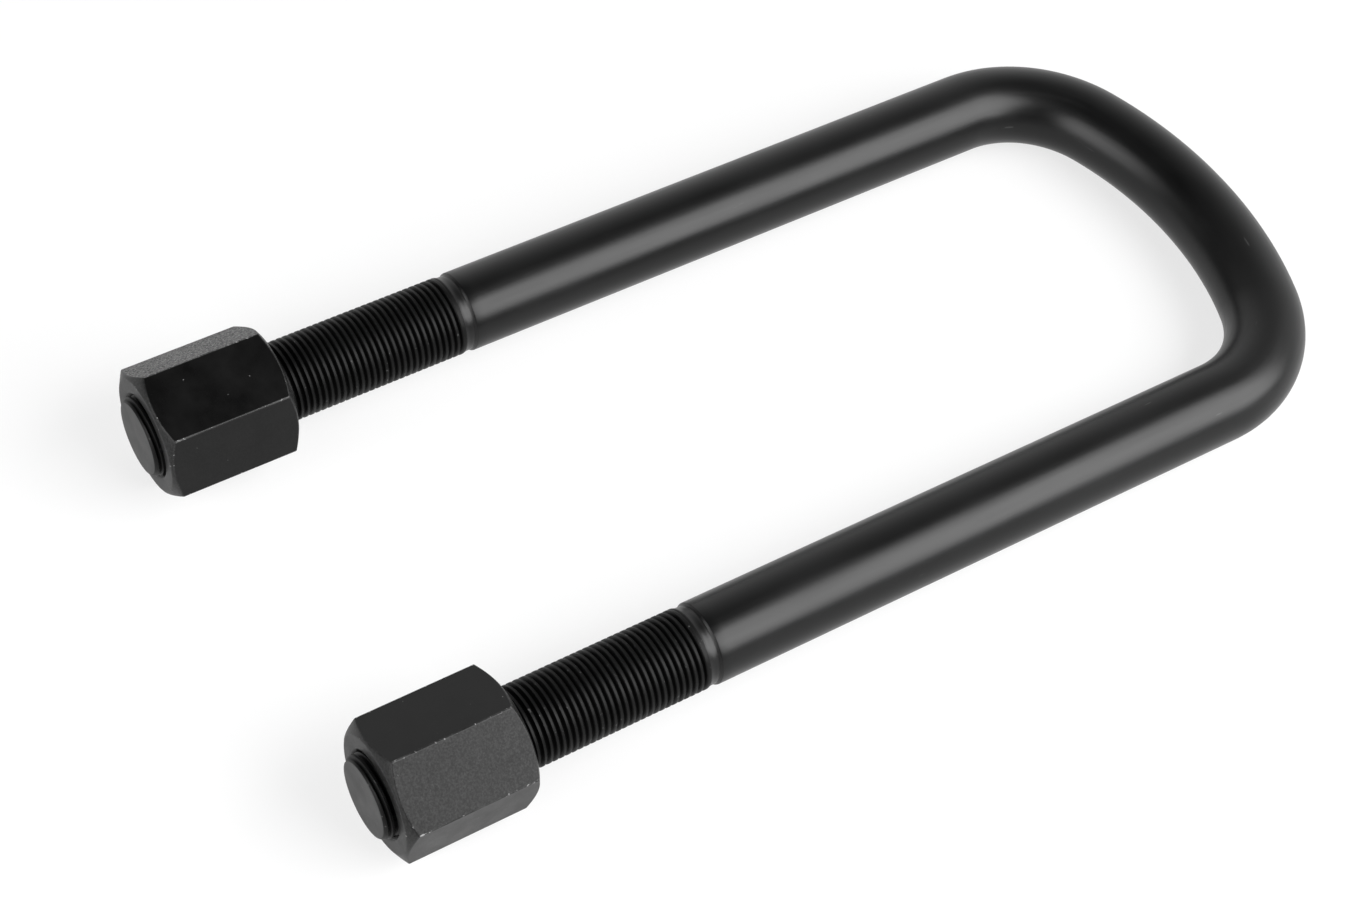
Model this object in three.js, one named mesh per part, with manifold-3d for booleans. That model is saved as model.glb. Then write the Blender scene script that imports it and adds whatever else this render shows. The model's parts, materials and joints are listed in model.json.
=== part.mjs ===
// A leaf-spring U-bolt: a round steel bar bent into a U with a low arched crown, threaded at both
// ends, with a tall hex nut on each leg. Millimetres, +Z up. The U lies flat, with its legs along Y,
// its crown towards +Y and its thread ends towards -Y.
//
// Each nut turns and travels at once, so it is made of two coaxial pieces: the lining that holds its
// thread, which only travels, and the hex body round it, which turns as well.

import * as THREE from 'three';
import Module from 'manifold-3d';
import { mergeVertices } from 'three/addons/utils/BufferGeometryUtils.js';

// The bar, measured on its centre line.
const barDiameter = 22.5;
const legSpacing = 124.1;
const legLength = 264; // from the start of the bend to the tip
const cornerRadius = 35.8;
const cornerAngle = THREE.MathUtils.degToRad(69.2); // turned by each tight corner, out of 90

// The threaded ends: 7/8 in, 14 threads to the inch.
const threadDiameter = 22.2;
const threadedLength = 95; // from the tip to the shoulder of the full bar
const runOutLength = 5.5; // the plain collar between the last thread and the shoulder
const runOutDrop = 0.4; // from the thread to the collar, on the radius
const runOutTaper = 1.2;
const shoulderDrop = 0.25; // from the full bar to the shoulder's edge, on the radius
const shoulderTaper = 0.8;
const tipDrop = 0.9; // from the thread to the flat of the tip, on the radius
const tipChamfer = 1.3;

// The nuts. Each stands out from its tip by its own amount and is turned by its own angle.
const nutAcrossFlats = 33.3;
const nutHeight = 36.5;
const nutFaceInset = 0.85; // from a flat side to the round face inside the corner chamfers
const nutChamferAngle = THREE.MathUtils.degToRad(30);
const liningWall = 1.2;
const countersinkWall = 0.5; // lining left outside the countersunk mouth
const nuts = [
  { name: 'left_nut', side: -1, standOut: 2.2, turn: THREE.MathUtils.degToRad(-10.2) },
  { name: 'right_nut', side: 1, standOut: 3, turn: THREE.MathUtils.degToRad(12.5) },
];

// Fits.
const threadGap = 0.3; // between the bar's thread and a nut's lining, on the radius
const liningGap = 0.3; // between a nut's lining and its hex body, on the radius

// How finely curves are cut.
const roundSegments = 48;
const cornerSteps = 14;
const crownSteps = 14;
const jointDepth = 6; // how far a threaded end reaches into the bent bar that it is joined to
const cutOverrun = 1; // how far a cut runs past the face that it opens
const chamferOverrun = 2; // how far a chamfer's cone runs past a nut's corners

const wasm = await Module();
wasm.setup();

// A closed three.js geometry as a manifold-3d solid.
function solidOf(geometry) {
  const bare = geometry.clone();
  bare.deleteAttribute('normal');
  bare.deleteAttribute('uv');
  const merged = mergeVertices(bare, 1e-4);
  return new wasm.Manifold(
    new wasm.Mesh({
      numProp: 3,
      vertProperties: new Float32Array(merged.attributes.position.array),
      triVerts: new Uint32Array(merged.index.array),
    }),
  );
}

// A manifold-3d solid as a three.js geometry.
function geometryOf(solid) {
  const mesh = solid.getMesh();
  const geometry = new THREE.BufferGeometry();
  geometry.setAttribute('position', new THREE.BufferAttribute(mesh.vertProperties, 3));
  geometry.setIndex(new THREE.BufferAttribute(mesh.triVerts, 1));
  geometry.computeVertexNormals();
  return geometry;
}

// A solid turned about the Y axis from a profile of [radius, y] pairs.
function turned(profile) {
  const points = profile.map(([radius, y]) => new THREE.Vector2(radius, y));
  return new THREE.LatheGeometry(points, roundSegments);
}

// The bar's centre line from the left shoulder to the right one: two straight legs, two tight
// corners and the gently arched crown between them. Its stations are packed into the bends, so a
// straight leg is a single step.
class BarPath extends THREE.Curve {
  constructor() {
    super();
    const halfSpacing = legSpacing / 2;
    const cornerX = halfSpacing - cornerRadius;
    const crownRadius = cornerRadius + cornerX / Math.cos(cornerAngle);
    const crownY = (cornerRadius - crownRadius) * Math.sin(cornerAngle);
    const shoulderY = threadedLength - legLength;
    const rightAngle = Math.PI / 2;

    const around = (x, y, radius, angle) => ({
      place: new THREE.Vector3(x + radius * Math.cos(angle), y + radius * Math.sin(angle), 0),
      heading: new THREE.Vector3(Math.sin(angle), -Math.cos(angle), 0),
    });
    const straight = (x, headingY) => ({
      place: new THREE.Vector3(x, shoulderY, 0),
      heading: new THREE.Vector3(0, headingY, 0),
    });

    this.stations = [straight(-halfSpacing, 1)];
    for (let i = 0; i <= cornerSteps; i += 1) {
      const angle = Math.PI - (cornerAngle * i) / cornerSteps;
      this.stations.push(around(-cornerX, 0, cornerRadius, angle));
    }
    for (let i = 1; i < crownSteps; i += 1) {
      const spread = rightAngle - cornerAngle;
      const angle = rightAngle + spread - (2 * spread * i) / crownSteps;
      this.stations.push(around(0, crownY, crownRadius, angle));
    }
    for (let i = cornerSteps; i >= 0; i -= 1) {
      const angle = (cornerAngle * i) / cornerSteps;
      this.stations.push(around(cornerX, 0, cornerRadius, angle));
    }
    this.stations.push(straight(halfSpacing, -1));
  }

  get steps() {
    return this.stations.length - 1;
  }

  stationAt(u) {
    return this.stations[Math.round(u * this.steps)];
  }

  getPointAt(u, target = new THREE.Vector3()) {
    return target.copy(this.stationAt(u).place);
  }

  getTangentAt(u, target = new THREE.Vector3()) {
    return target.copy(this.stationAt(u).heading);
  }
}

// The full-diameter bar between its two shoulders.
function bentBar() {
  const section = new THREE.Shape();
  section.absarc(0, 0, barDiameter / 2, 0, 2 * Math.PI);
  const path = new BarPath();
  return new THREE.ExtrudeGeometry(section, {
    extrudePath: path,
    steps: path.steps,
    curveSegments: roundSegments / 2,
  });
}

// One threaded end, from its chamfered tip to a stub that is buried in the bent bar.
function threadedEnd() {
  const tipY = -legLength;
  const shoulderY = tipY + threadedLength;
  const lastThreadY = shoulderY - runOutLength;
  const threadRadius = threadDiameter / 2;
  const tipRadius = threadRadius - tipDrop;
  const runOutRadius = threadRadius - runOutDrop;
  const shoulderRadius = barDiameter / 2 - shoulderDrop;
  return turned([
    [0, tipY],
    [tipRadius, tipY],
    [threadRadius, tipY + tipChamfer],
    [threadRadius, lastThreadY],
    [runOutRadius, lastThreadY + runOutTaper],
    [runOutRadius, shoulderY - shoulderTaper],
    [shoulderRadius, shoulderY],
    [shoulderRadius, shoulderY + jointDepth],
    [0, shoulderY + jointDepth],
  ]);
}

function uBoltGeometry() {
  const end = solidOf(threadedEnd());
  const leftEnd = end.translate([-legSpacing / 2, 0, 0]);
  const rightEnd = end.translate([legSpacing / 2, 0, 0]);
  return geometryOf(solidOf(bentBar()).add(leftEnd).add(rightEnd));
}

// The lining of a nut's thread, with a countersunk mouth at each face. Its middle is at the origin.
const liningRadius = threadDiameter / 2 + threadGap;
const liningOuterRadius = liningRadius + liningWall;

function liningGeometry() {
  const mouthRadius = liningOuterRadius - countersinkWall;
  const mouthDepth = mouthRadius - liningRadius;
  const top = nutHeight / 2;
  return turned([
    [mouthRadius, -top],
    [liningOuterRadius, -top],
    [liningOuterRadius, top],
    [mouthRadius, top],
    [liningRadius, top - mouthDepth],
    [liningRadius, mouthDepth - top],
    [mouthRadius, -top],
  ]);
}

// The hex body of a nut, with its corners chamfered at both faces. Its middle is at the origin.
function hexGeometry() {
  const hexCornerRadius = nutAcrossFlats / Math.sqrt(3);
  const faceRadius = nutAcrossFlats / 2 - nutFaceInset;
  const coneRadius = hexCornerRadius + chamferOverrun;
  const coneDrop = (coneRadius - faceRadius) * Math.tan(nutChamferAngle);
  const boreRadius = liningOuterRadius + liningGap;
  const top = nutHeight / 2;

  const prism = solidOf(new THREE.CylinderGeometry(hexCornerRadius, hexCornerRadius, nutHeight, 6));
  const chamfers = solidOf(
    turned([
      [0, -top],
      [faceRadius, -top],
      [coneRadius, coneDrop - top],
      [coneRadius, top - coneDrop],
      [faceRadius, top],
      [0, top],
    ]),
  );
  const bore = solidOf(
    turned([
      [0, -top - cutOverrun],
      [boreRadius, -top - cutOverrun],
      [boreRadius, top + cutOverrun],
      [0, top + cutOverrun],
    ]),
  );
  return geometryOf(prism.intersect(chamfers).subtract(bore));
}

const satinBlack = new THREE.MeshStandardMaterial({ color: 0x1c1d1f, roughness: 0.38, metalness: 0.7 });
const forgedBlack = new THREE.MeshStandardMaterial({ color: 0x26282a, roughness: 0.6, metalness: 0.6 });
const threadBlack = new THREE.MeshStandardMaterial({ color: 0x141415, roughness: 0.45, metalness: 0.7 });

function piece(name, geometry, material) {
  const mesh = new THREE.Mesh(geometry, material.clone());
  mesh.name = name;
  return mesh;
}

const group = new THREE.Group();
group.add(piece('u_bolt', uBoltGeometry(), satinBlack));

for (const nut of nuts) {
  const place = new THREE.Group();
  place.position.set((nut.side * legSpacing) / 2, nut.standOut + nutHeight / 2 - legLength, 0);
  const hex = piece(nut.name, hexGeometry(), forgedBlack);
  hex.rotation.y = nut.turn;
  place.add(hex, piece(`${nut.name}_thread`, liningGeometry(), threadBlack));
  group.add(place);
}

// The origin is midway between the legs, midway along the whole length, at the lowest point.
group.updateMatrixWorld(true);
const box = new THREE.Box3().setFromObject(group, true);
group.position.set(0, -(box.min.y + box.max.y) / 2, -box.min.z);

export default group;
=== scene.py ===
# The looks of a leaf-spring U-bolt and its two tall hex nuts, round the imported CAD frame. Metres, +Z up.
# The U lies flat: its legs run along Y, its crown is towards +Y and its thread ends are towards -Y.

import json
import math

import bpy
import numpy as np
from mathutils import Matrix, Vector


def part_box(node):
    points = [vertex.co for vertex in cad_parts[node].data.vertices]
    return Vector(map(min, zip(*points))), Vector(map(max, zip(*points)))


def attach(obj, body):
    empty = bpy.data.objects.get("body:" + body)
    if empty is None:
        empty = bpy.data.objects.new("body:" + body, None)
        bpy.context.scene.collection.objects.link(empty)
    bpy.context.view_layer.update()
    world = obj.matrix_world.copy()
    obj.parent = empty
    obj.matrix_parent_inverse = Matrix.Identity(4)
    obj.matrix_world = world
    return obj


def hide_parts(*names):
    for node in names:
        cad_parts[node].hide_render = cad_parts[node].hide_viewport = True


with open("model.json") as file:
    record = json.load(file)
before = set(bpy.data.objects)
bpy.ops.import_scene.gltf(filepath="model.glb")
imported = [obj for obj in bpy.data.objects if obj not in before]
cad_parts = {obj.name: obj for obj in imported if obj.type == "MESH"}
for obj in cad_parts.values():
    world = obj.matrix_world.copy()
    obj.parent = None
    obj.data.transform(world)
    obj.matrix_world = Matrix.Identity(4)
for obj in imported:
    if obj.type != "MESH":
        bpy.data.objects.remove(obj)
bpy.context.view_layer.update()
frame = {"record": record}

MM = 0.001
TURN = 2 * math.pi

# ---------------------------------------------------------------- places and sizes, from the frame
bar_low, bar_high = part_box("u_bolt")
lining_low, lining_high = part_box("right_nut_thread")
couplings = frame["record"]["behaviour"]["couplings"]

LEG_X = (lining_low.x + lining_high.x) / 2
AXIS_Z = (lining_low.z + lining_high.z) / 2
BAR_RADIUS = bar_high.x - LEG_X
TIP_Y = bar_low.y
PITCH = couplings[0]["ratio"] * TURN

# ---------------------------------------------------------------- sizes that the frame's boxes don't give
CORNER_RADIUS = 35.8 * MM  # the tight corners, on the bar's centre line
CORNER_ANGLE = math.radians(69.2)  # turned by each tight corner, out of 90

THREAD_RADIUS = 11.1 * MM
THREAD_DEPTH = 0.98 * MM
THREADED_LENGTH = 95 * MM  # from the tip to the shoulder of the full bar
COLLAR_LENGTH = 3.4 * MM  # the plain collar between the last thread and the shoulder
COLLAR_DROP = 0.4 * MM  # from the thread to the collar
COLLAR_TAPER = 1.2 * MM
SHOULDER_DROP = 0.25 * MM  # from the full bar to the shoulder's edge
SHOULDER_TAPER = 0.35 * MM
UNDERCUT = 0.15 * MM  # the fine groove in the collar, against the shoulder
UNDERCUT_LENGTH = 0.5 * MM
TIP_DROP = 0.9 * MM  # from the thread to the flat of the tip
TIP_CHAMFER = 1.3 * MM
CUT_END = -1.0  # noted as the thread's depth on the bar's flat cut ends, to find them by
FADE_LENGTH = 0.9 * PITCH  # over which the last thread grows shallow

ACROSS_FLATS = 33.3 * MM
CORNER_FILLET = 0.45 * MM  # of a nut's six long edges
FACE_INSET = 0.85 * MM  # from a flat side to the round face inside the corner chamfers
CHAMFER_ANGLE = math.radians(30)
EDGE_EASE = 0.22 * MM  # how far each sharp edge is rounded
NUT_THREAD_GAP = 0.1 * MM  # between a nut's thread and the bar's, on the radius
NUT_CREST = 0.9  # how far a nut's thread reaches into the bar's, of its depth
MOUTH_RADIUS = 12.1 * MM  # of a nut's countersunk mouths
MOUTH_DEPTH = 1 * MM

# ---------------------------------------------------------------- the nuts' turns and finish
# Each nut's turn about its leg and the grain of its six sides, from 0 for smooth to 1 for coarse. The first
# side faces the nut's turn plus 30 degrees, from +Z towards +X, and the others follow round.
NUTS = {
    "left_nut": (math.radians(-10.2), (0.0, 0.1, 0.25, 0.2, 0.4, 1.0)),
    "right_nut": (math.radians(12.5), (0.27, 0.22, 0.1, 0.3, 0.2, 0.05)),
}
END_FACE_GRAIN = 0.25
EDGE_WEAR_AND_SHEEN_REACH = 0.35 * MM  # how far the wear and the painted highlight of an edge fade into the faces beside it
END_KNOCK_AND_SHEEN_REACH = 2 * MM  # how far from its ends a long edge takes more knocks, and a stronger painted highlight
MIDDLE_WEAR_AND_SHEEN = 0.8  # of a long edge away from its ends, as a share of the wear and painted highlight at the ends
RIM_WEAR_AND_SHEEN = 0.66  # of the edges round the end faces, as a share of the same

# ---------------------------------------------------------------- how finely curves are cut
THREAD_STEPS = 12  # rows of vertices in one pitch
BAR_COLUMNS = 72
ROW = PITCH / THREAD_STEPS
DISC_RINGS = (0.02, 0.35, 0.7, 0.9)  # of the bar's flat ends, as shares of their radius
TIP_BEVEL = 0.2  # of EDGE_EASE: how far the tip's rim is rounded off
COLLAR_ROWS = 5
BEFORE_STEP = 0.05 * MM  # how close a row stands before a sharp step of the collar or the shoulder, and
AFTER_STEP = 0.04 * MM  # how close one stands after it
SHOULDER_EDGE = ((0.03, 0.6), (0.14, 0.2), (0.35, 0.0))  # mm past the shoulder, and share of its drop left
SHANK_START = 3 * MM  # from the shoulder to the first row of the plain stretch
SHANK_ROWS = 12  # along each leg's plain stretch
CORNER_STEPS = 30
CROWN_STEPS = 24
FLAT_STOPS = (0.0, 0.18, 0.45, 1.0, 2.2, 3.7, 5.4, 7.2)  # columns of a nut's side, in mm from its edge
ARC_STEPS = 4  # columns of a nut's rounded corner
SIDE_STOPS = (0.3, 0.7, 1.5, 3.0, 6.0, 10.0)  # rows of a nut's side, in mm from its rim
FACE_SHARES = (0.3, 0.6, 0.85)  # rings of an end face, from the mouth to the chamfer
FACE_WIDTH = 3 * MM  # of an end face, for its wear and painted highlight
CHAMFER_MIDDLE = 0.5 * MM  # from the middle of a corner chamfer to its edges, for the same
THREAD_CLEAR_ROWS = (1, 2)  # rows of a nut's thread left out at its bottom and its top, clear of the mouths
SHARP_ANGLE = math.radians(50)  # edges that are sharper than this aren't smoothed

# The shape of the thread, with a broad worn crest and a narrow root.
CREST_SHARE = 0.38  # of the pitch that is crest, and
ROOT_SHARE = 0.10  # that is root; the flanks share the rest
THREAD_ROUNDING = 0.35  # of its corners, from 0 for none to 1 for a smooth wave


def smooth(t):
    """An even rise from 0 to 1 that starts and ends gently."""
    t = np.clip(t, 0.0, 1.0)
    return t * t * (3 - 2 * t)


def groove(step):
    """How deep the thread is at a step of its pitch, from 0 on the crest to 1 in the root."""
    away = np.abs((np.asarray(step) / THREAD_STEPS) % 1.0 - 0.5)  # 0.5 at the crest's middle
    from_crest = 0.5 - away
    flank = (1 - CREST_SHARE - ROOT_SHARE) / 2
    rise = (from_crest - CREST_SHARE / 2) / flank
    return np.clip(rise, 0, 1) * (1 - THREAD_ROUNDING) + THREAD_ROUNDING * smooth(rise)


def thread_steps(angles):
    """Whole steps of the pitch that the helix has climbed at each angle about +Y, and what is left over."""
    climbed = THREAD_STEPS * (np.asarray(angles) % TURN) / TURN
    whole = np.floor(climbed)
    return whole, (climbed - whole) * ROW


# ---------------------------------------------------------------- meshes
def grid_faces(rows, columns, jumps, close_rows=False):
    """Faces between rows x columns vertices, closed round the columns. Where the helix steps to the next
    row of vertices, jumps[column] is true and the faces are split along it."""
    faces = []
    last = rows if close_rows else rows - 1
    for i in range(last):
        here, there = i * columns, ((i + 1) % rows) * columns
        for j in range(columns):
            k = (j + 1) % columns
            if jumps[j]:
                faces.append((here + j, here + k, there + k))
                faces.append((here + j, there + k, there + j))
            else:
                faces.append((here + j, here + k, there + k, there + j))
    return faces


def new_mesh(name, vertices, faces):
    """A closed, smoothly shaded piece whose faces point outwards."""
    mesh = bpy.data.meshes.new(name)
    mesh.from_pydata([tuple(v) for v in vertices], [], faces)
    mesh.validate()
    mesh.update()
    mesh.calc_loop_triangles()
    corners = np.array([v.co for v in mesh.vertices])[
        np.array([t.vertices for t in mesh.loop_triangles])
    ]
    volume = np.einsum("ij,ij->i", corners[:, 0], np.cross(corners[:, 1], corners[:, 2])).sum()
    if volume < 0:
        mesh.flip_normals()
    mesh.shade_smooth()
    mesh.set_sharp_from_angle(angle=SHARP_ANGLE)
    piece = bpy.data.objects.new(name, mesh)
    bpy.context.scene.collection.objects.link(piece)
    return piece


def give_value(piece, name, values):
    layer = piece.data.attributes.new(name, "FLOAT", "POINT")
    layer.data.foreach_set("value", np.asarray(values, np.float32).ravel())


def give_vector(piece, name, values):
    layer = piece.data.attributes.new(name, "FLOAT_VECTOR", "POINT")
    layer.data.foreach_set("vector", np.asarray(values, np.float32).ravel())


# ---------------------------------------------------------------- the bar
class Row:
    """One ring of the bar: where it is, its radius at each column and what its surface is there.

    shift moves a column along the heading, so that it stays on the helix. depth is how deep the thread is,
    or CUT_END, and shank is 1 on plain bar and 0 on thread.
    """

    def __init__(self, centre, side, heading, along, radius, shift=0.0, depth=0.0, shank=0.0):
        self.centre, self.side, self.heading = centre, side, heading
        self.along = along  # the way along the bar, for the lay of its surface
        self.radius = np.broadcast_to(radius, BAR_COLUMNS)
        self.shift = np.broadcast_to(shift, BAR_COLUMNS)
        self.depth = np.broadcast_to(depth, BAR_COLUMNS)
        self.shank = shank


column_angles = (np.arange(BAR_COLUMNS) + 0.5) * TURN / BAR_COLUMNS


def end_radius(t):
    """The outside of a threaded end at a distance t from its tip, before the thread is cut."""
    collar = THREAD_RADIUS - COLLAR_DROP
    shoulder = BAR_RADIUS - SHOULDER_DROP
    last_thread = THREADED_LENGTH - COLLAR_LENGTH
    edge = THREADED_LENGTH - SHOULDER_TAPER
    ts = [0, TIP_CHAMFER, last_thread, last_thread + COLLAR_TAPER, edge - UNDERCUT_LENGTH, edge,
          THREADED_LENGTH, THREADED_LENGTH + SHOULDER_DROP]
    rs = [THREAD_RADIUS - TIP_DROP, THREAD_RADIUS, THREAD_RADIUS, collar, collar, collar - UNDERCUT,
          shoulder, BAR_RADIUS]
    return np.interp(t, ts, rs)


def leg_rows(side_sign):
    """The rows of one leg from its tip to its bend. side_sign is -1 for the left leg and 1 for the right."""
    heading = Vector((0, 1, 0)) * -side_sign
    side = Vector((1, 0, 0)) * -side_sign
    whole, left_over = thread_steps(-side_sign * column_angles)
    last_thread = THREADED_LENGTH - COLLAR_LENGTH
    rows = []

    def centre(t):
        return Vector((side_sign * LEG_X, TIP_Y + t, AXIS_Z))

    def plain(t, radius, shank=0.0, depth=0.0):
        rows.append(Row(centre(t), side, heading, t, radius, shank=shank, depth=depth))

    tip_radius = THREAD_RADIUS - TIP_DROP
    for share in DISC_RINGS:
        plain(0.0, tip_radius * share, depth=CUT_END)
    plain(0.0, tip_radius - EDGE_EASE, depth=CUT_END)
    plain(EDGE_EASE * TIP_BEVEL, tip_radius - EDGE_EASE * TIP_BEVEL)

    count = int(last_thread / ROW) + 2
    for i in range(2, count):
        t = i * ROW + left_over
        cut = groove(i - whole) * (1 - smooth((t - last_thread + FADE_LENGTH) / FADE_LENGTH))
        radius = np.minimum(end_radius(t), THREAD_RADIUS - THREAD_DEPTH * cut)
        shift = left_over * -side_sign
        rows.append(Row(centre(i * ROW), side, heading, i * ROW, radius, shift=shift, depth=cut))

    edge = THREADED_LENGTH - SHOULDER_TAPER
    collar_rows = list(np.linspace((count + 1) * ROW, edge - UNDERCUT_LENGTH, COLLAR_ROWS))
    undercut_rows = [edge - UNDERCUT_LENGTH / 2, edge - BEFORE_STEP]
    shoulder_rows = [edge + AFTER_STEP, THREADED_LENGTH - BEFORE_STEP]
    for t in collar_rows + undercut_rows + shoulder_rows:
        plain(t, end_radius(t), shank=1.0)
    for past, drop_share in SHOULDER_EDGE:
        plain(THREADED_LENGTH + past * MM, BAR_RADIUS - SHOULDER_DROP * drop_share, shank=1.0)
    for t in np.linspace(THREADED_LENGTH + SHANK_START, bend_start_y() - TIP_Y, SHANK_ROWS)[:-1]:
        plain(t, BAR_RADIUS, shank=1.0)
    return rows


def crown_radius():
    """The crown's arc runs on from the corners' arcs, so its radius follows from theirs."""
    return CORNER_RADIUS + (LEG_X - CORNER_RADIUS) / math.cos(CORNER_ANGLE)


def bend_start_y():
    """Where the legs end: the crown's outside touches the far end of the bar's box."""
    rise = crown_radius() - (crown_radius() - CORNER_RADIUS) * math.sin(CORNER_ANGLE)
    return bar_high.y - BAR_RADIUS - rise


def bend_rows():
    """The rows from the end of the left leg, round the crown, to the end of the right leg."""
    start = bend_start_y()
    corner_x = LEG_X - CORNER_RADIUS
    crown_y = start + (CORNER_RADIUS - crown_radius()) * math.sin(CORNER_ANGLE)
    quarter = math.pi / 2
    spread = quarter - CORNER_ANGLE
    stops = []
    for i in range(CORNER_STEPS + 1):
        stops.append((-corner_x, start, CORNER_RADIUS, math.pi - CORNER_ANGLE * i / CORNER_STEPS))
    for i in range(1, CROWN_STEPS):
        stops.append((0, crown_y, crown_radius(), quarter + spread - 2 * spread * i / CROWN_STEPS))
    for i in range(CORNER_STEPS, -1, -1):
        stops.append((corner_x, start, CORNER_RADIUS, CORNER_ANGLE * i / CORNER_STEPS))
    rows = []
    length = start - TIP_Y
    before = None
    for x, y, radius, angle in stops:
        centre = Vector((x + radius * math.cos(angle), y + radius * math.sin(angle), AXIS_Z))
        heading = Vector((math.sin(angle), -math.cos(angle), 0))
        side = Vector((-math.cos(angle), -math.sin(angle), 0))
        if before is not None:
            length += (centre - before).length
        before = centre
        rows.append(Row(centre, side, heading, length, BAR_RADIUS, shank=1.0))
    return rows, length


def make_bar():
    """The whole bar as one closed skin, from the left tip round to the right one."""
    left = leg_rows(-1)
    bend, length = bend_rows()
    right = leg_rows(1)
    leg_length = bend_start_y() - TIP_Y
    for row in right:
        row.along = length + leg_length - row.along
    rows = left + bend + right[::-1]
    up = np.array((0, 0, 1.0))
    sines, cosines = np.sin(column_angles), np.cos(column_angles)
    points, lays, depths = [], [], []
    for row in rows:
        out = sines[:, None] * np.array(row.side) + cosines[:, None] * up
        ring = np.array(row.centre) + row.radius[:, None] * out + row.shift[:, None] * np.array(row.heading)
        points.append(ring)
        along = np.full(BAR_COLUMNS, row.along)
        lays.append(np.stack([row.radius * sines, row.radius * cosines, along], axis=1))
        depths.append(row.depth)
    vertices = np.concatenate(points)
    left_steps, _ = thread_steps(column_angles)
    jumps = left_steps != np.roll(left_steps, -1)
    faces = grid_faces(len(rows), BAR_COLUMNS, jumps)
    faces.append(tuple(range(BAR_COLUMNS - 1, -1, -1)))
    last = (len(rows) - 1) * BAR_COLUMNS
    faces.append(tuple(range(last, last + BAR_COLUMNS)))
    piece = new_mesh("u_bolt_bar", vertices, faces)
    give_vector(piece, "lay", np.concatenate(lays))
    give_value(piece, "groove", np.concatenate(depths))
    shank = np.repeat([row.shank for row in rows], BAR_COLUMNS)
    give_value(piece, "shank", shank)
    return piece


# ---------------------------------------------------------------- the nuts
def hex_outline(turn):
    """Round a hexagon with rounded corners: each column's angle about +Y, its radius, how far it is from the
    nearest long edge, and its side's number."""
    inner = ACROSS_FLATS / 2 - CORNER_FILLET
    half = inner * math.tan(math.pi / 6)
    stops = sorted([-half + s * MM for s in FLAT_STOPS] + [0.0] + [half - s * MM for s in FLAT_STOPS])
    angles, radii, edges, sides = [], [], [], []
    for k in range(6):
        facing = turn + math.pi / 6 + k * math.pi / 3
        normal = np.array((math.sin(facing), math.cos(facing)))
        tangent = np.array((math.cos(facing), -math.sin(facing)))
        for q in stops:
            x, z = normal * (inner + CORNER_FILLET) + tangent * q
            angles.append(math.atan2(x, z))
            radii.append(math.hypot(x, z))
            edges.append(half - abs(q))
            sides.append(k)
        for i in range(1, ARC_STEPS):
            swing = facing + math.pi / 3 * i / ARC_STEPS
            x, z = normal * inner + tangent * half
            x += CORNER_FILLET * math.sin(swing)
            z += CORNER_FILLET * math.cos(swing)
            angles.append(math.atan2(x, z))
            radii.append(math.hypot(x, z))
            edges.append(0.0)
            sides.append(k)
    return np.array(angles), np.array(radii), np.array(edges), np.array(sides)


def eased(before, corner, after, reach):
    """Three profile points that round a corner, each a pair of arrays (radius, height)."""
    back = np.stack(before) - np.stack(corner)
    on = np.stack(after) - np.stack(corner)
    first = np.stack(corner) + back / np.linalg.norm(back, axis=0) * reach
    last = np.stack(corner) + on / np.linalg.norm(on, axis=0) * reach
    middle = (first + 2 * np.stack(corner) + last) / 4
    return [first, middle, last]


class ProfileRow:
    """One row round a nut: its radius and height at each column, how far it is from the nearest edge round
    an end face, and whether it is on the flat sides."""

    def __init__(self, point, away=0.0, on_side=False):
        self.radius, self.height = point
        self.away = np.broadcast_to(away, self.radius.shape)
        self.on_side = on_side


def skin_rows(outer, bottom, top):
    """The rows of a nut's outside, from its top mouth down to its bottom one."""
    face_radius = ACROSS_FLATS / 2 - FACE_INSET
    drop = (outer - face_radius) * math.tan(CHAMFER_ANGLE)
    rows = []

    def add(points, away=0.0, on_side=False):
        rows.extend(ProfileRow(point, away, on_side) for point in points)

    def at(radius, y):
        return np.stack([np.full_like(outer, radius), np.full_like(outer, y)])

    face_top, face_low = at(face_radius, top), at(face_radius, bottom)
    rim_top, rim_low = np.stack([outer, top - drop]), np.stack([outer, bottom + drop])
    mouth_top, mouth_low = at(MOUTH_RADIUS, top), at(MOUTH_RADIUS, bottom)
    inner_top = at(MOUTH_RADIUS - MOUTH_DEPTH, top - MOUTH_DEPTH)
    inner_low = at(MOUTH_RADIUS - MOUTH_DEPTH, bottom + MOUTH_DEPTH)

    add(eased(inner_top, mouth_top, face_top, EDGE_EASE))
    for share in FACE_SHARES:
        add([mouth_top + (face_top - mouth_top) * share], FACE_WIDTH * (1 - share))
    add(eased(mouth_top, face_top, rim_top, EDGE_EASE))
    add([(face_top + rim_top) / 2], CHAMFER_MIDDLE)
    add(eased(face_top, rim_top, rim_low, EDGE_EASE))
    for stop in SIDE_STOPS:
        add([rim_top - at(0, stop * MM)], stop * MM, on_side=True)
    add([(rim_top + rim_low) / 2], (rim_top - rim_low)[1] / 2, on_side=True)
    for stop in SIDE_STOPS[::-1]:
        add([rim_low + at(0, stop * MM)], stop * MM, on_side=True)
    add(eased(rim_top, rim_low, face_low, EDGE_EASE))
    add([(face_low + rim_low) / 2], CHAMFER_MIDDLE)
    add(eased(rim_low, face_low, mouth_low, EDGE_EASE))
    for share in FACE_SHARES[::-1]:
        add([mouth_low + (face_low - mouth_low) * share], FACE_WIDTH * (1 - share))
    add(eased(face_low, mouth_low, inner_low, EDGE_EASE))
    return rows


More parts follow.
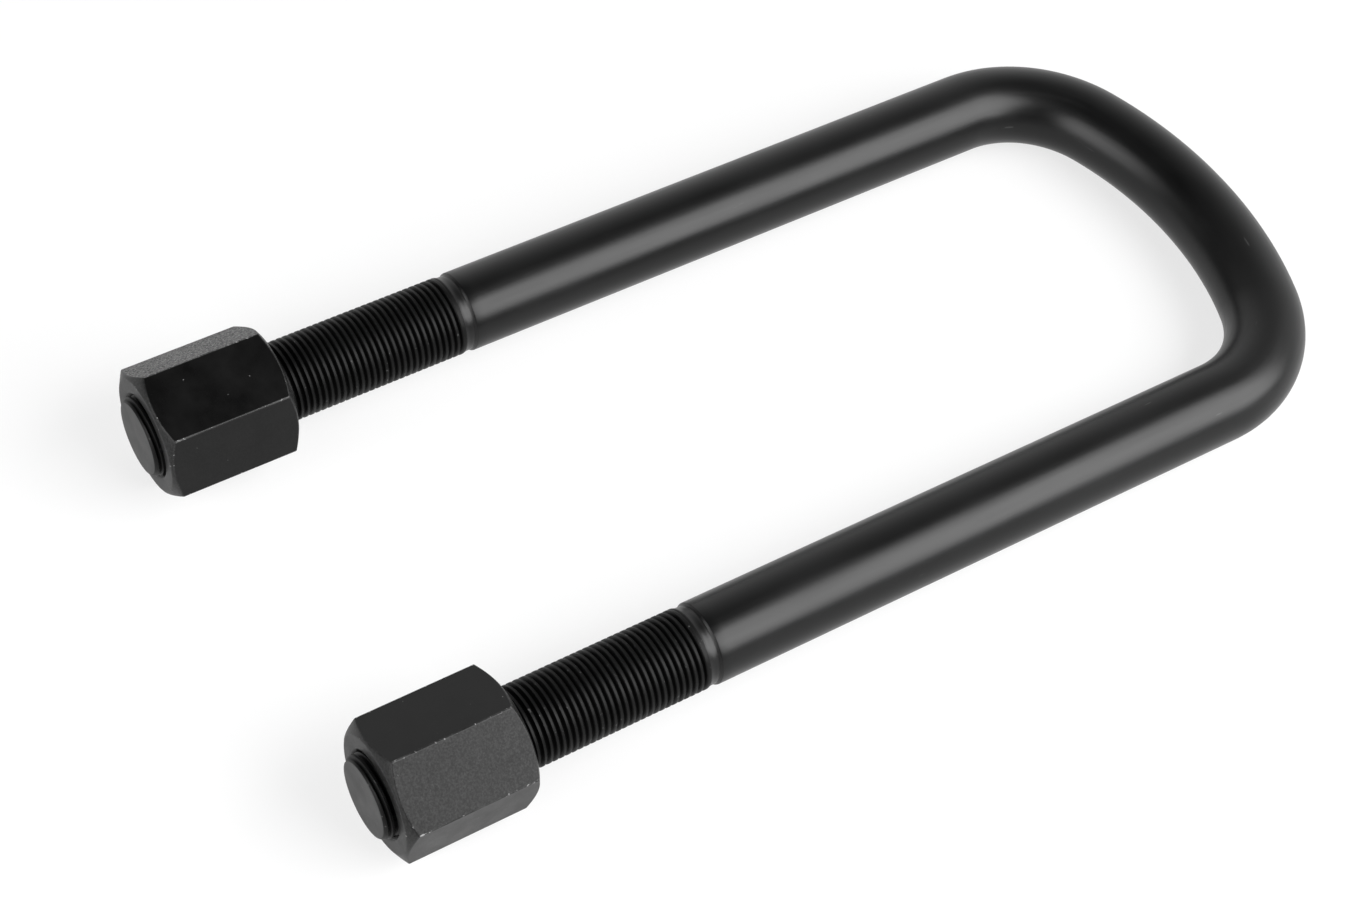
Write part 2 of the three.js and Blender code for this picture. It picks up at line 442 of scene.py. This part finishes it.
def bore_rows(angles, bottom, top):
    """The rows of a nut's thread, from its bottom mouth up to its top one, in step with the bar's helix."""
    whole, left_over = thread_steps(angles)
    first = math.ceil((bottom + EDGE_EASE - TIP_Y) / ROW) + THREAD_CLEAR_ROWS[0]
    last = math.floor((top - EDGE_EASE - TIP_Y) / ROW) - THREAD_CLEAR_ROWS[1]
    rows = []
    for i in range(first, last + 1):
        y = TIP_Y + i * ROW + left_over
        cut = np.minimum(groove(i - whole), NUT_CREST)
        radius = THREAD_RADIUS - THREAD_DEPTH * cut + NUT_THREAD_GAP
        mouth = MOUTH_RADIUS - np.minimum(y - bottom, top - y)
        rows.append(ProfileRow((np.maximum(radius, mouth), y)))
    return rows


def make_nut(name, turn, grains, finish):
    """A nut with its long edges eased, curved corner chamfers, countersunk mouths and a real thread."""
    lining = f"{name}_thread"
    low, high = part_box(lining)
    leg_x = (low.x + high.x) / 2
    angles, outer, edge_away, sides = hex_outline(turn)
    skin = skin_rows(outer, low.y, high.y)
    rows = skin + bore_rows(angles, low.y, high.y)
    radius = np.array([row.radius for row in rows])
    height = np.array([row.height for row in rows])
    vertices = np.stack([leg_x + radius * np.sin(angles), height, AXIS_Z + radius * np.cos(angles)], axis=-1)
    steps, _ = thread_steps(angles)
    jumps = steps != np.roll(steps, -1)
    faces = grid_faces(len(rows), len(angles), jumps, close_rows=True)
    piece = new_mesh(f"{name}_body", vertices.reshape(-1, 3), faces)

    away = np.array([row.away for row in rows])
    on_side = np.array([row.on_side for row in rows])[:, None]
    in_bore = np.broadcast_to((np.arange(len(rows)) >= len(skin))[:, None], away.shape)
    # one mask for the edges' wear and for the painted highlight along them
    end_knocks_and_sheen = MIDDLE_WEAR_AND_SHEEN + (1 - MIDDLE_WEAR_AND_SHEEN) * np.exp(-away / END_KNOCK_AND_SHEEN_REACH)
    long_edge = np.where(on_side, np.exp(-edge_away[None, :] / EDGE_WEAR_AND_SHEEN_REACH) * end_knocks_and_sheen, 0)
    rim = np.where(in_bore, 0, np.exp(-away / EDGE_WEAR_AND_SHEEN_REACH))
    give_value(piece, "edge_wear_and_sheen", np.clip(np.maximum(long_edge, rim * RIM_WEAR_AND_SHEEN), 0, 1))
    give_value(piece, "grain", np.where(on_side, np.array(grains)[sides][None, :], END_FACE_GRAIN))
    give_value(piece, "bore", in_bore)
    piece.data.materials.append(finish)
    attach(piece, name)
    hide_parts(name, lining)


# ---------------------------------------------------------------- materials
NOISE_SPREAD = (0.3, 0.7)  # where nearly all of a noise's values lie


class Nodes:
    """A material's node tree, with short calls for the nodes used here."""

    def __init__(self, name):
        self.material = bpy.data.materials.new(name)
        self.material.use_nodes = True
        self.tree = self.material.node_tree
        self.shader = self.tree.nodes["Principled BSDF"]

    def link(self, source, target):
        self.tree.links.new(source, target)

    def set(self, socket, value):
        if isinstance(value, bpy.types.NodeSocket):
            self.link(value, socket)
        else:
            socket.default_value = value

    def attribute(self, name, vector=False):
        node = self.tree.nodes.new("ShaderNodeAttribute")
        node.attribute_name = name
        return node.outputs["Vector" if vector else "Fac"]

    def object_place(self):
        return self.tree.nodes.new("ShaderNodeTexCoord").outputs["Object"]

    def scaled(self, vector, scale):
        node = self.tree.nodes.new("ShaderNodeMapping")
        self.link(vector, node.inputs["Vector"])
        node.inputs["Scale"].default_value = scale
        return node.outputs["Vector"]

    def noise(self, vector, scale, detail=3.0, roughness=0.55):
        node = self.tree.nodes.new("ShaderNodeTexNoise")
        self.link(vector, node.inputs["Vector"])
        node.inputs["Scale"].default_value = scale
        node.inputs["Detail"].default_value = detail
        node.inputs["Roughness"].default_value = roughness
        return node.outputs["Fac"]

    def range(self, value, low, high, to_low=0.0, to_high=1.0):
        node = self.tree.nodes.new("ShaderNodeMapRange")
        node.clamp = True
        self.set(node.inputs["Value"], value)
        self.set(node.inputs["From Min"], low)
        self.set(node.inputs["From Max"], high)
        self.set(node.inputs["To Min"], to_low)
        self.set(node.inputs["To Max"], to_high)
        return node.outputs["Result"]

    def math(self, operation, a, b):
        node = self.tree.nodes.new("ShaderNodeMath")
        node.operation = operation
        self.set(node.inputs[0], a)
        self.set(node.inputs[1], b)
        return node.outputs[0]

    def average(self, a, b):
        return self.math("ADD", self.math("MULTIPLY", a, 0.5), self.math("MULTIPLY", b, 0.5))

    def mix(self, share, a, b):
        node = self.tree.nodes.new("ShaderNodeMix")
        node.data_type = "RGBA"
        self.set(node.inputs["Factor"], share)
        self.set(node.inputs["A"], a)
        self.set(node.inputs["B"], b)
        return node.outputs["Result"]

    def bump(self, height, strength, distance):
        node = self.tree.nodes.new("ShaderNodeBump")
        self.link(height, node.inputs["Height"])
        self.set(node.inputs["Strength"], strength)
        node.inputs["Distance"].default_value = distance
        return node.outputs["Normal"]


def grey(value, blue=0.0):
    """A grey of a linear brightness, with a share more of blue."""
    return (value, value * (1 + blue * 0.5), value * (1 + blue), 1)


def bar_material():
    """Satin black oxide on drawn bar: faint marks along it, and soft cloudy variation."""
    n = Nodes("satin_black_bar")
    n.shader.inputs["Specular IOR Level"].default_value = 0.28
    lay = n.attribute("lay", vector=True)
    drawn = n.noise(n.scaled(lay, (1, 1, 0.03)), scale=900, detail=4)
    cloud = n.noise(n.scaled(lay, (1, 1, 0.5)), scale=60, detail=4)
    fine = n.noise(lay, scale=2600, detail=2)
    colour = n.mix(n.range(cloud, *NOISE_SPREAD), grey(0.0010, blue=0.05), grey(0.0028, blue=0.05))
    scratch = n.range(n.noise(n.scaled(lay, (1, 1, 0.15)), scale=420, detail=2), 0.735, 0.76)
    colour = n.mix(n.math("MULTIPLY", scratch, 0.35), colour, grey(0.05))
    n.link(colour, n.shader.inputs["Base Color"])
    rough = n.range(cloud, *NOISE_SPREAD, to_low=0.31, to_high=0.37)
    rough = n.math("ADD", rough, n.range(drawn, *NOISE_SPREAD, to_low=-0.02, to_high=0.03))
    n.link(rough, n.shader.inputs["Roughness"])
    n.link(n.bump(n.average(drawn, fine), strength=0.10, distance=0.05 * MM), n.shader.inputs["Normal"])
    return n.material


def thread_material():
    """Oiled black thread: painted shade darkens it from the crests down into the grooves, worn nicks lighten
    the crests, and the cut ends are a little lighter.
    """
    n = Nodes("oiled_black_thread")
    n.shader.inputs["Specular IOR Level"].default_value = 0.12
    lay = n.attribute("lay", vector=True)
    depth = n.attribute("groove")
    cloud = n.noise(lay, scale=160, detail=4)
    fine = n.noise(lay, scale=1800, detail=3)
    crest = n.range(depth, 0.25, 0.0)
    # painted shade: the thread is darker the deeper it is cut, down into its roots
    colour = n.mix(crest, grey(0.0008), grey(0.0025))
    colour = n.mix(n.range(depth, CUT_END / 2, CUT_END), colour, grey(0.028))
    nick = n.math("MULTIPLY", crest, n.range(n.noise(lay, scale=700, detail=2), 0.68, 0.74))
    colour = n.mix(n.math("MULTIPLY", nick, 0.5), colour, grey(0.10))
    n.link(colour, n.shader.inputs["Base Color"])
    rough = n.range(cloud, *NOISE_SPREAD, to_low=0.40, to_high=0.50)
    rough = n.math("ADD", rough, n.range(depth, 0.2, 1.0, to_high=0.15))
    n.link(rough, n.shader.inputs["Roughness"])
    n.link(n.bump(fine, strength=0.2, distance=0.03 * MM), n.shader.inputs["Normal"])
    return n.material


def nut_material():
    """Forged black nut: grain that differs from side to side, mottling, bright nicks on its edges, and a
    painted highlight along them.
    """
    n = Nodes("forged_black_nut")
    n.shader.inputs["Specular IOR Level"].default_value = 0.185
    place = n.object_place()
    grain = n.attribute("grain")
    edge_wear_and_sheen = n.attribute("edge_wear_and_sheen")
    bore = n.attribute("bore")
    cloud = n.noise(place, scale=140, detail=4)
    speck = n.noise(place, scale=1700, detail=4, roughness=0.7)
    pits = n.noise(place, scale=900, detail=3)
    base = n.mix(n.range(cloud, *NOISE_SPREAD), grey(0.0018), grey(0.0036))
    speckled = n.math("MULTIPLY", n.range(speck, 0.42, 0.72), n.math("MULTIPLY", grain, grain))
    colour = n.mix(speckled, base, grey(0.32))
    # painted highlight: a faint lighter line along all the edges, in place of the light on their rounded
    # edges
    painted_edge_highlight = n.math("MULTIPLY", n.range(edge_wear_and_sheen, 0.6, 1.0), n.range(cloud, 0.3, 0.6))
    colour = n.mix(painted_edge_highlight, colour, grey(0.05))
    torn = n.noise(place, scale=1300, detail=3, roughness=0.6)
    knocks = n.noise(place, scale=75, detail=2)
    nick_level = n.math("ADD", n.math("MULTIPLY", edge_wear_and_sheen, 0.45), n.math("MULTIPLY", knocks, 0.3))
    nick = n.range(n.math("ADD", nick_level, torn), 1.13, 1.17)
    dust = n.range(n.noise(place, scale=1000, detail=1), 0.80, 0.83)
    bright = n.math("MAXIMUM", nick, n.math("MULTIPLY", dust, 0.5))
    colour = n.mix(bright, colour, grey(0.22))
    colour = n.mix(bore, colour, grey(0.004))
    n.link(colour, n.shader.inputs["Base Color"])
    rough = n.range(grain, 0.0, 0.5, to_low=0.28, to_high=0.55)
    rough = n.math("ADD", rough, n.range(cloud, *NOISE_SPREAD, to_low=-0.03, to_high=0.05))
    n.link(rough, n.shader.inputs["Roughness"])
    strength = n.range(grain, 0.0, 1.0, to_low=0.05, to_high=0.8)
    n.link(n.bump(n.average(speck, pits), strength, distance=0.10 * MM), n.shader.inputs["Normal"])
    return n.material


def floor_material():
    """A plain white table that glows a little, as a light table does, so that shadows stay faint."""
    n = Nodes("white_table")
    place = n.object_place()
    cloud = n.noise(place, scale=3, detail=3)
    n.link(n.mix(n.range(cloud, *NOISE_SPREAD), grey(0.20), grey(0.22)), n.shader.inputs["Base Color"])
    n.shader.inputs["Emission Color"].default_value = (1, 1, 1, 1)
    n.shader.inputs["Emission Strength"].default_value = 0.71
    n.shader.inputs["Roughness"].default_value = 0.9
    n.shader.inputs["Specular IOR Level"].default_value = 0.1
    return n.material


# ---------------------------------------------------------------- the bar's finish and the table
TABLE_REACH = 12.0  # from the middle to each edge
TABLE_STEPS = 8


def dress_bar(piece):
    """Gives the bar its two finishes and its place in the frame."""
    piece.data.materials.append(bar_material())
    piece.data.materials.append(thread_material())
    shank = np.zeros(len(piece.data.vertices), np.float32)
    piece.data.attributes["shank"].data.foreach_get("value", shank)
    for polygon in piece.data.polygons:
        polygon.material_index = 0 if min(shank[v] for v in polygon.vertices) > 0.5 else 1
    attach(piece, "u_bolt")
    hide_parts("u_bolt")


def add_floor():
    """A pale table, tilted a little so that both the nuts and the crown rest on it."""
    nut_y = (lining_low.y + lining_high.y) / 2
    crown_y = bar_high.y - BAR_RADIUS
    slope = math.atan2(AXIS_Z - BAR_RADIUS, crown_y - nut_y)
    spots = np.linspace(-TABLE_REACH, TABLE_REACH, TABLE_STEPS + 1)
    vertices = [(x, y, 0) for y in spots for x in spots]
    wide = len(spots)
    faces = [(r * wide + c, r * wide + c + 1, (r + 1) * wide + c + 1, (r + 1) * wide + c)
             for r in range(TABLE_STEPS) for c in range(TABLE_STEPS)]
    mesh = bpy.data.meshes.new("table")
    mesh.from_pydata(vertices, [], faces)
    mesh.materials.append(floor_material())
    table = bpy.data.objects.new("table", mesh)
    bpy.context.scene.collection.objects.link(table)
    table.rotation_euler = (slope, 0, 0)
    table.location = (0, nut_y, 0)


# ---------------------------------------------------------------- the light and the camera
BACKDROP_AZIMUTH = 142
BACKDROP_EDGE = (0.15, 0.6)  # where it begins and where it is full, as cosines of the angle from its middle
BACKDROP_STOPS = ((0.0, 1.2), (0.45, 1.1), (0.65, 0.75), (0.8, 0.45), (0.95, 0.1))  # height, radiance
ROOM_RADIANCE = 0.02

CAMERA_AZIMUTH, CAMERA_ELEVATION = -38.58, 51.36  # where it stands, seen from the point it looks at
CAMERA_ROLL = 0.149  # radians about its own axis
CAMERA_DISTANCE = 0.7585
CAMERA_AIM = Vector((6.5 * MM, -35.3 * MM, AXIS_Z))
LENS, SENSOR = 76.34, 36.0  # in mm


def towards(azimuth, elevation):
    """A unit vector: azimuth from +X towards +Y, elevation above the horizon, in degrees."""
    a, e = math.radians(azimuth), math.radians(elevation)
    return Vector((math.cos(a) * math.cos(e), math.sin(a) * math.cos(e), math.sin(e)))


def softbox(name, azimuth, elevation, distance, width, height, radiance):
    """A rectangular area light that faces the object, hidden from the camera."""
    light = bpy.data.lights.new(name, "AREA")
    light.shape = "RECTANGLE"
    light.size, light.size_y = width, height
    light.energy = radiance * math.pi * width * height
    lamp = bpy.data.objects.new(name, light)
    bpy.context.scene.collection.objects.link(lamp)
    out = towards(azimuth, elevation)
    lamp.location = out * distance
    lamp.rotation_mode = "QUATERNION"
    lamp.rotation_quaternion = out.to_track_quat("Z", "Y")
    lamp.visible_camera = False


def add_lights():
    right = {"azimuth": 37, "elevation": 38, "distance": 1.2, "width": 1.2, "height": 1.08}
    front = {"azimuth": -83, "elevation": 22, "distance": 1.3, "width": 1.05, "height": 1.0}
    softbox("right_softbox", **right, radiance=8.6)
    softbox("front_softbox", **front, radiance=5.6)
    add_backdrop_light()


def add_backdrop_light():
    """The world: a pale backdrop behind the table, fading upwards, and a dim room everywhere else."""
    world = bpy.data.worlds.new("studio")
    bpy.context.scene.world = world
    world.use_nodes = True
    tree = world.node_tree
    background = tree.nodes["Background"]
    place = tree.nodes.new("ShaderNodeTexCoord")
    split = tree.nodes.new("ShaderNodeSeparateXYZ")
    facing = tree.nodes.new("ShaderNodeVectorMath")
    facing.operation = "DOT_PRODUCT"
    facing.inputs[1].default_value = towards(BACKDROP_AZIMUTH, 0)
    side = tree.nodes.new("ShaderNodeMapRange")
    side.interpolation_type = "SMOOTHSTEP"
    side.inputs["From Min"].default_value, side.inputs["From Max"].default_value = BACKDROP_EDGE
    ramp = tree.nodes.new("ShaderNodeValToRGB")
    product = tree.nodes.new("ShaderNodeMath")
    product.operation = "MULTIPLY"
    total = tree.nodes.new("ShaderNodeMath")
    total.operation = "ADD"
    total.inputs[1].default_value = ROOM_RADIANCE
    tree.links.new(place.outputs["Generated"], split.inputs["Vector"])
    tree.links.new(place.outputs["Generated"], facing.inputs[0])
    tree.links.new(facing.outputs["Value"], side.inputs["Value"])
    tree.links.new(split.outputs["Z"], ramp.inputs["Fac"])
    tree.links.new(ramp.outputs["Color"], product.inputs[0])
    tree.links.new(side.outputs["Result"], product.inputs[1])
    tree.links.new(product.outputs["Value"], total.inputs[0])
    tree.links.new(total.outputs["Value"], background.inputs["Strength"])
    background.inputs["Color"].default_value = (1, 1, 1, 1)
    for _ in BACKDROP_STOPS[2:]:
        ramp.color_ramp.elements.new(0.5)
    for element, (height, value) in zip(ramp.color_ramp.elements, BACKDROP_STOPS):
        element.position = height
        element.color = (value, value, value, 1)


def add_camera():
    """The camera looks down on the U from beyond the right nut, turned a little about its own axis."""
    camera = bpy.data.objects.new("camera", bpy.data.cameras.new("camera"))
    bpy.context.scene.collection.objects.link(camera)
    out = towards(CAMERA_AZIMUTH, CAMERA_ELEVATION)
    right = Vector((0, 0, 1)).cross(out).normalized()
    up = out.cross(right)
    turn = Matrix.Rotation(CAMERA_ROLL, 3, out)
    axes = Matrix((turn @ right, turn @ up, out)).transposed().to_4x4()
    axes.translation = CAMERA_AIM + out * CAMERA_DISTANCE
    camera.matrix_world = axes
    camera.data.lens = LENS
    camera.data.sensor_width = SENSOR
    camera.data.clip_start, camera.data.clip_end = 0.05, 50
    bpy.context.scene.camera = camera


add_camera()
dress_bar(make_bar())
nut_finish = nut_material()
for nut_name, (nut_turn, nut_grains) in NUTS.items():
    make_nut(nut_name, nut_turn, nut_grains, nut_finish)
add_floor()
add_lights()
bpy.context.scene.view_settings.view_transform = "Standard"
